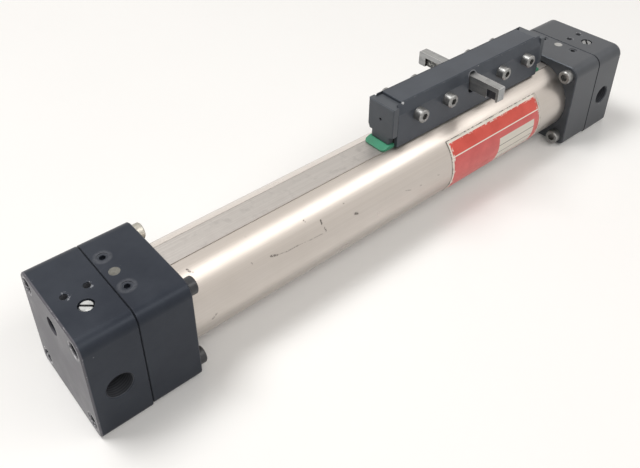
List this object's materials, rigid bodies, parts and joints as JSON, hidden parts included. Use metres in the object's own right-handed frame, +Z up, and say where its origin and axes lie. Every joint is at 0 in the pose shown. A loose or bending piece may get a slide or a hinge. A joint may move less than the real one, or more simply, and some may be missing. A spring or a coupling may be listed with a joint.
{
  "type": "rodless pneumatic cylinder",
  "caption": "Rodless air cylinder: a slotted round barrel with square black end caps, and a carriage with a cross bar that slides along it.",
  "frame": {"origin": "bottom centre of the bounding box: on the plane of the caps' undersides, halfway along the barrel", "axes": "+X along the barrel from the near cap to the far cap, +Y to the left side (away from the air ports), +Z up"},
  "size_m": [0.272, 0.042, 0.0565],
  "materials": {
    "barrel_metal": "satin silver anodised extrusion",
    "black_anodised": "blue-black anodised, satin, worn on the edges",
    "band_steel": "dull rolled strip",
    "screw_steel": "bright plated",
    "dark_steel": "dark, oiled",
    "plug_steel": "dull grey",
    "bar_steel": "ground flat bar",
    "bare_aluminium": "machined",
    "seal_rubber": "matt black",
    "green_wiper": "green, soft",
    "guide_plastic": "off-white bearing plastic"
  },
  "bodies": {
    "cylinder": {"barrel": "barrel_metal", "outer_band": "band_steel", "inner_band": "band_steel", "near_end_cover": "black_anodised", "far_end_cover": "black_anodised", "near_flange": "black_anodised", "far_flange": "black_anodised", "near_cap_screws": "screw_steel", "far_cap_screws": "screw_steel", "near_band_clamp": "bare_aluminium", "far_band_clamp": "bare_aluminium", "near_clamp_screws": "dark_steel", "far_clamp_screws": "dark_steel", "near_top_plug": "plug_steel", "far_top_plug": "plug_steel", "near_cover_seal": "seal_rubber", "far_cover_seal": "seal_rubber", "near_cushion_spigot": "bare_aluminium", "far_cushion_spigot": "bare_aluminium"},
    "carriage": {"piston_yoke": "black_anodised", "carriage_saddle": "black_anodised", "right_side_screws": "screw_steel", "left_side_screws": "screw_steel", "driver_bar": "bar_steel", "near_end_block": "black_anodised", "far_end_block": "black_anodised", "near_scraper": "green_wiper", "far_scraper": "green_wiper", "near_band_shoe": "guide_plastic", "far_band_shoe": "guide_plastic", "near_piston_head": "bare_aluminium", "far_piston_head": "bare_aluminium", "near_piston_seal": "seal_rubber", "far_piston_seal": "seal_rubber", "near_wear_ring": "guide_plastic", "far_wear_ring": "guide_plastic", "near_cushion_seal": "seal_rubber", "far_cushion_seal": "seal_rubber"},
    "near_adjuster": {"near_cushion_screw": "screw_steel", "near_cushion_screw_seal": "seal_rubber"},
    "far_adjuster": {"far_cushion_screw": "screw_steel", "far_cushion_screw_seal": "seal_rubber"}
  },
  "joints": [
    {"name": "carriage_slide", "type": "slide", "parent": "cylinder", "child": "carriage", "axis": [1, 0, 0], "range_m": [-0.094, 0.006], "deforming": ["outer_band", "inner_band"]},
    {"name": "near_cushion_screw_turn", "type": "hinge", "parent": "cylinder", "child": "near_adjuster", "pos_m": [-0.127, -0.007, 0.041], "axis": [0, 0, 1], "range_deg": [-360, 720]},
    {"name": "far_cushion_screw_turn", "type": "hinge", "parent": "cylinder", "child": "far_adjuster", "pos_m": [0.127, -0.007, 0.041], "axis": [0, 0, 1], "range_deg": [-360, 720]}
  ]
}
